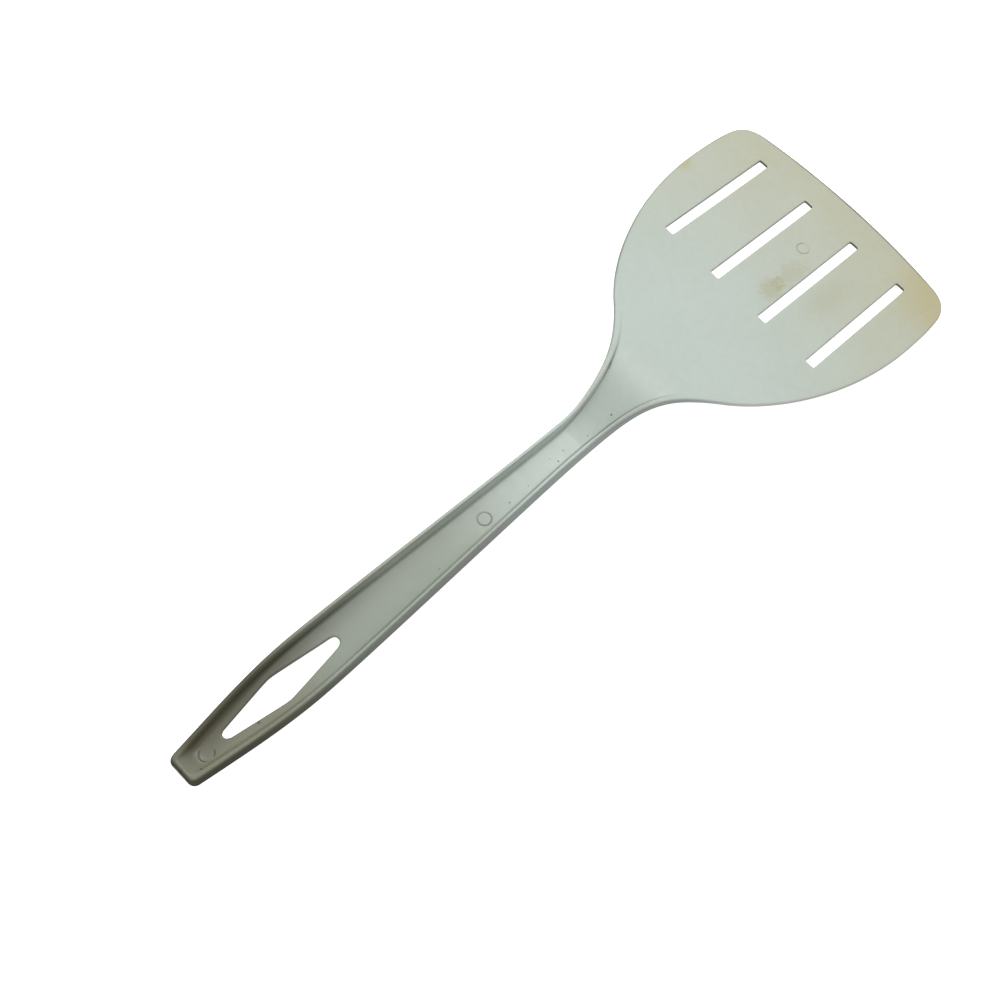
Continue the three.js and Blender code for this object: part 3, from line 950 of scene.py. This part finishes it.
class Plastic(Finish):
    """Satin moulded plastic: places, marks and noises, then a method for each kind of wear and dirt, and
    for painted light and shade.
    """

    def __init__(self):
        super().__init__("moulded_plastic")
        self.place = self.attribute("flat_place", 1)
        self.grime_with_shade = self.attribute("grime_shade_mark", 2)
        self.upper = self.attribute("upper_side", 2)
        self.wall = self.attribute("outer_wall", 2)
        axes = self.node("ShaderNodeSeparateXYZ", {}, {0: self.place}).socket.node.outputs
        self.u, self.y, self.h = (Term(self, axis) for axis in axes)
        self.cloud = self.noise(self.place, 0.045, 3.0)
        self.mottle = self.noise(self.place, 0.35, 4.0, 0.6)
        self.patch = self.noise(self.place, 0.9, 4.0, 0.65)
        self.fine = self.noise(self.place, 2.2, 3.0)
        self.along = self.u + (self.cloud - 0.5) * 16
        self.left = self.rise(self.y, -2, 2)
        # Caked dirt and painted shade on the outer walls towards the tail
        self.caked_and_shade = self.wall * self.rise(self.along, *CAKED_SHADE_STATIONS)
        thick = 1 + 1.5 * self.rise(self.u, *THICK_STATIONS)
        thick = thick * (1 - 0.75 * self.left * self.rise(self.u, *THIN_STATIONS))
        self.dirty_with_shade = self.grime_with_shade * (0.45 + 0.35 * self.rise(self.cloud, 0.38, 0.62)) * thick

    def plain(self):
        """The pale plastic, a little uneven."""
        uneven = self.mottle * 0.6 + self.cloud * 0.4
        return self.mix(PALE, PALE_SHADE, self.rise(uneven, 0.35, 0.68))

    def handle_tones_and_shade(self, colour):
        """The handle's tones: rubbed rims, olive discoloration and painted shade towards the tail,
        soiling and painted shade on its left side, dust, and caked dirt and painted shade on the walls.
        """
        raised = self.rise(self.h, *RAISED_HEIGHTS)
        clean = raised * (0.3 + 0.7 * self.left)
        colour = self.mix(colour, RUBBED_AND_SHADE, clean * self.rise(self.along, *RUBBED_STATIONS) * 0.85)
        # Darker towards the tail: discoloration plus painted shade
        colour = self.mix(colour, HANDLED_AND_SHADE, self.rise(self.along, *HANDLED_SHADE_STATIONS) * (1 - 0.75 * clean))
        colour = self.mix(colour, OLIVE, self.rise(self.along, *OLIVE_STATIONS) * (1 - 0.2 * clean))
        # Grime plus painted shade darkening the web's left side towards the tail
        side = self.y - (self.u - 10) * 0.08
        soiled_and_shade = self.rise(side, *SOILED_SHADE_SIDE) * self.rise(self.along, *SOILED_SHADE_STATIONS)
        soiled_and_shade = soiled_and_shade * (1 - 0.7 * raised * self.rise(self.u, *SOILED_SHADE_RIMS))
        soiled_and_shade = soiled_and_shade * (0.5 + 0.5 * self.rise(self.u, *SOILED_SHADE_TAIL))
        colour = self.mix(colour, SOILED_AND_SHADE, soiled_and_shade * (1 - self.wall))
        dust = self.rise(self.fine, 0.48, 0.66) * self.rise(self.h, *DUST_HEIGHTS)
        colour = self.mix(colour, GRIME_AND_SHADE, dust * 0.16)
        # Caked dirt and painted shade on the outer walls
        return self.mix(colour, GRIME_AND_SHADE, self.caked_and_shade * 0.88)

    def painted_light_shade_and_shoulders(self, colour):
        """Painted light on the blade's right outer wall and on the left inner wall, painted shade on the
        blade's left edge, and grey shoulders.
        """
        # Painted light on the blade's right outer wall, which sits in shade
        painted_light_edge = self.wall * self.rise(self.u, *PAINTED_LIGHT_EDGE_STATIONS) * (1 - self.left)
        colour = self.mix(colour, PAINTED_LIGHT, painted_light_edge)
        # Painted shade on the lit rounding of the blade's left edge
        painted_shade_edge = self.wall * self.rise(self.u, *LEFT_EDGE_SHADE_STATIONS) * self.left
        colour = self.mix(colour, RUBBED_AND_SHADE, painted_shade_edge * 0.8)
        # Painted light on the handle's left inner wall, which sits in shade
        inner_wall_light = self.left * self.between(self.h, *INNER_WALL_HEIGHTS)
        inner_wall_light = inner_wall_light * self.between(self.u, *INNER_WALL_STATIONS)
        colour = self.mix(colour, PAINTED_LIGHT, inner_wall_light * 0.38)
        shoulder = self.rise(self.h, *SHOULDER_HEIGHTS) * self.between(self.u, *SHOULDER_STATIONS)
        return self.mix(colour, RUBBED_AND_SHADE, shoulder * (0.34 - 0.08 * self.left))

    def yellowed(self, colour):
        """Yellowing of the blade, which grows away from the neck and most at the right front corner."""
        corner = self.distance(self.place, YELLOW_CORNER)
        from_neck = self.distance(self.place, YELLOW_NECK)
        yellow = 0.6 * self.rise(from_neck, *YELLOW_FROM_NECK)
        yellow = yellow + 0.5 * self.rise(corner, *YELLOW_FROM_CORNER)
        uneven = 0.97 + (self.cloud - 0.5) * 0.6 + (self.mottle - 0.5) * 0.5
        yellow = yellow * self.rise(self.u, *YELLOW_STATIONS) * uneven * (1 + (self.patch - 0.5) * 0.5)
        yellow = yellow * (1 - 0.18 * self.rise(self.y, -25, 10) * self.rise(self.u, 302, 275))
        return self.mix(colour, KHAKI, yellow * (0.35 + 0.65 * self.upper))

    def stain(self, centre, scale, coarse, fine, start, full, strength):
        """One stain, which grows towards its centre and has an edge made uneven by noise."""
        away = self.distance(self.place, centre, scale)
        away = away + (self.mottle - 0.5) * coarse + (self.patch - 0.5) * fine
        return self.rise(away, start, full) * strength

    def stained(self, colour):
        """Brown stains by the slots and an ochre spot at the left edge, on the upper side."""
        blotch, trail, faint = (self.stain(*stain) for stain in BROWN_STAINS.values())
        colour = self.mix(colour, BROWN, (blotch + trail + faint) * self.upper)
        return self.mix(colour, OCHRE, self.stain(*OCHRE_SPOT) * self.upper)

    def grimed_and_shaded(self, colour):
        """Grime and painted shade in the lines that are marked for it, and painted shade on the far end
        walls of the slots.
        """
        # Grime and painted shade in the marked lines
        colour = self.mix(colour, GRIME_AND_SHADE, self.dirty_with_shade * 0.7)
        # Painted shade on the far end walls of the slots
        slot_end_shade = self.rise(self.upper * (1 - self.upper), 0.02, 0.12)
        return self.mix(colour, GRIME_AND_SHADE, slot_end_shade * self.rise(self.u, *SLOT_WALL_SHADE_STATIONS) * 0.95)

    def specked(self, colour):
        """Dark specks with ragged edges, on the upper side."""
        dots = 0
        for centre_u, centre_y, radius in SPECKS.values():
            away = self.distance(self.place, (centre_u, centre_y, 0)) + (self.fine - 0.5) * 0.3
            dots = dots + self.rise(away, radius * 1.2, radius * 0.4)
        return self.mix(colour, SPECK, dots * 0.7 * self.upper)

    def finished(self):
        """Joins colour, roughness and a fine bump, with scuffs along the blade, into the material."""
        colour = self.painted_light_shade_and_shoulders(self.handle_tones_and_shade(self.plain()))
        colour = self.stained(self.yellowed(colour))
        colour = self.specked(self.grimed_and_shaded(colour))
        streak = self.noise(self.stretched(self.place, (0.05, 1.6, 1.0)), 1.0, 4.0, 0.65)
        scuff = self.rise(streak, 0.58, 0.72) * self.rise(self.u, *SCUFF_STATIONS)
        roughness = 0.4 + 0.1 * self.rise(self.u, *SATIN_STATIONS) + (self.mottle - 0.5) * 0.16
        roughness = roughness + scuff * 0.1 + self.dirty_with_shade * 0.2 + self.caked_and_shade * 0.5
        height = self.fine * 0.25 + self.mottle * 0.25 + scuff * 0.12
        bump = self.node("ShaderNodeBump", {}, {"Strength": 0.35, "Distance": 0.00006, "Height": height})
        self.feed(self.shader.inputs["Base Color"], colour)
        self.feed(self.shader.inputs["Roughness"], roughness)
        self.feed(self.shader.inputs["Normal"], bump)
        self.feed(self.shader.inputs["IOR"], 1.49)
        self.feed(self.shader.inputs["Specular IOR Level"], 0.42)
        return self.material


moulding = make_moulding()
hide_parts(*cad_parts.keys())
level = moulding.modifiers.new("weighted normals", "WEIGHTED_NORMAL")
level.keep_sharp = False
# Each ring's value darkens its groove with grime and painted shade
rings = [
    make_ring("tail_ring", u=8.8, y=-0.7, along=2.3, across=2.1, grime_with_shade=1.3, sunk=0.3, gap_turn=50),
    make_ring("handle_ring", u=115.7, y=-1.1, along=2.25, across=2.1, grime_with_shade=0.9),
    make_ring("blade_ring", u=274.5, y=-0.45, along=2.5, across=2.1, grime_with_shade=0.25, sunk=0.12, gap_turn=-20),
]
plastic = Plastic().finished()
for piece in (moulding, *rings):
    piece.data.materials.append(plastic)


def make_floor():
    """A pale floor that sweeps up into a wall all round: a quarter circle turned about the middle.

    It glows a little, so that it stays near white, and it sends no light back to the object.
    """
    turn = np.linspace(0, 2 * np.pi, 96, endpoint=False)
    lift = np.radians(np.linspace(0, 90, 24))
    out = np.concatenate([[0.0], FLOOR_REACH + FLOOR_SWEEP * np.sin(lift), [FLOOR_REACH + FLOOR_SWEEP]])
    up = np.concatenate([[0.0], FLOOR_SWEEP * (1 - np.cos(lift)), [FLOOR_WALL]])
    ring, angle = np.meshgrid(np.arange(len(out)), turn, indexing="ij")
    points = np.stack([out[ring] * np.cos(angle), out[ring] * np.sin(angle), up[ring]], -1)
    number = np.arange(ring.size).reshape(ring.shape)
    ahead = np.roll(number, -1, 1)
    sweep = quads(number[1:-1], number[2:], ahead[2:], ahead[1:-1]).tolist()
    mesh = bpy.data.meshes.new("floor")
    mesh.from_pydata(points.reshape(-1, 3), [], sweep + [number[1].tolist()])
    mesh.shade_smooth()
    floor = bpy.data.objects.new("floor", mesh)
    bpy.context.collection.objects.link(floor)
    paper = Finish("floor_paper")
    paper.shader.inputs["Base Color"].default_value = (0.9, 0.9, 0.9, 1)
    paper.shader.inputs["Roughness"].default_value = 0.9
    paper.shader.inputs["Emission Color"].default_value = (1, 1, 1, 1)
    paper.shader.inputs["Emission Strength"].default_value = 0.9
    mesh.materials.append(paper.material)
    floor.visible_diffuse = False
    floor.visible_glossy = False
    floor.visible_shadow = False


def make_light(name, place, aim, size, power):
    """A square soft white light at a place, turned to face its aim."""
    lamp = bpy.data.lights.new(name, "AREA")
    lamp.size = size
    lamp.energy = power
    light = bpy.data.objects.new(name, lamp)
    light.location = place
    light.rotation_euler = (Vector(aim) - Vector(place)).to_track_quat("-Z", "Y").to_euler()
    bpy.context.collection.objects.link(light)


def make_camera(place, aim, roll, lens):
    """Looks from the place to the aim, with the frame turned by the roll about that line."""
    data = bpy.data.cameras.new("camera")
    data.lens = lens
    data.sensor_width = 36
    camera = bpy.data.objects.new("camera", data)
    ahead = (Vector(aim) - Vector(place)).normalized()
    right = ahead.cross(Vector((0, 0, 1))).normalized()
    up = right.cross(ahead)
    turned = right * math.cos(roll) + up * math.sin(roll)
    axes = Matrix((turned, ahead.cross(turned) * -1, -ahead)).transposed()
    camera.matrix_world = Matrix.Translation(place) @ axes.to_4x4()
    bpy.context.collection.objects.link(camera)
    bpy.context.scene.camera = camera


make_floor()
make_light("key", place=(0.37, 0.17, 0.92), aim=(0.02, 0, 0), size=0.4, power=4.6)
make_light("fill", place=(0.1, 0.75, 0.66), aim=(-0.02, 0, 0), size=0.8, power=2.2)
make_camera(
    place=(-0.23686, -0.08833, 0.43353), aim=(-0.02529, 0.00146, 0), roll=math.radians(24.34), lens=58.15
)

scene = bpy.context.scene
scene.view_settings.view_transform = "Standard"
scene.world = bpy.data.worlds.new("studio")
scene.world.use_nodes = True
background = scene.world.node_tree.nodes["Background"]
background.inputs["Color"].default_value = (1, 1, 1, 1)
background.inputs["Strength"].default_value = 0.47
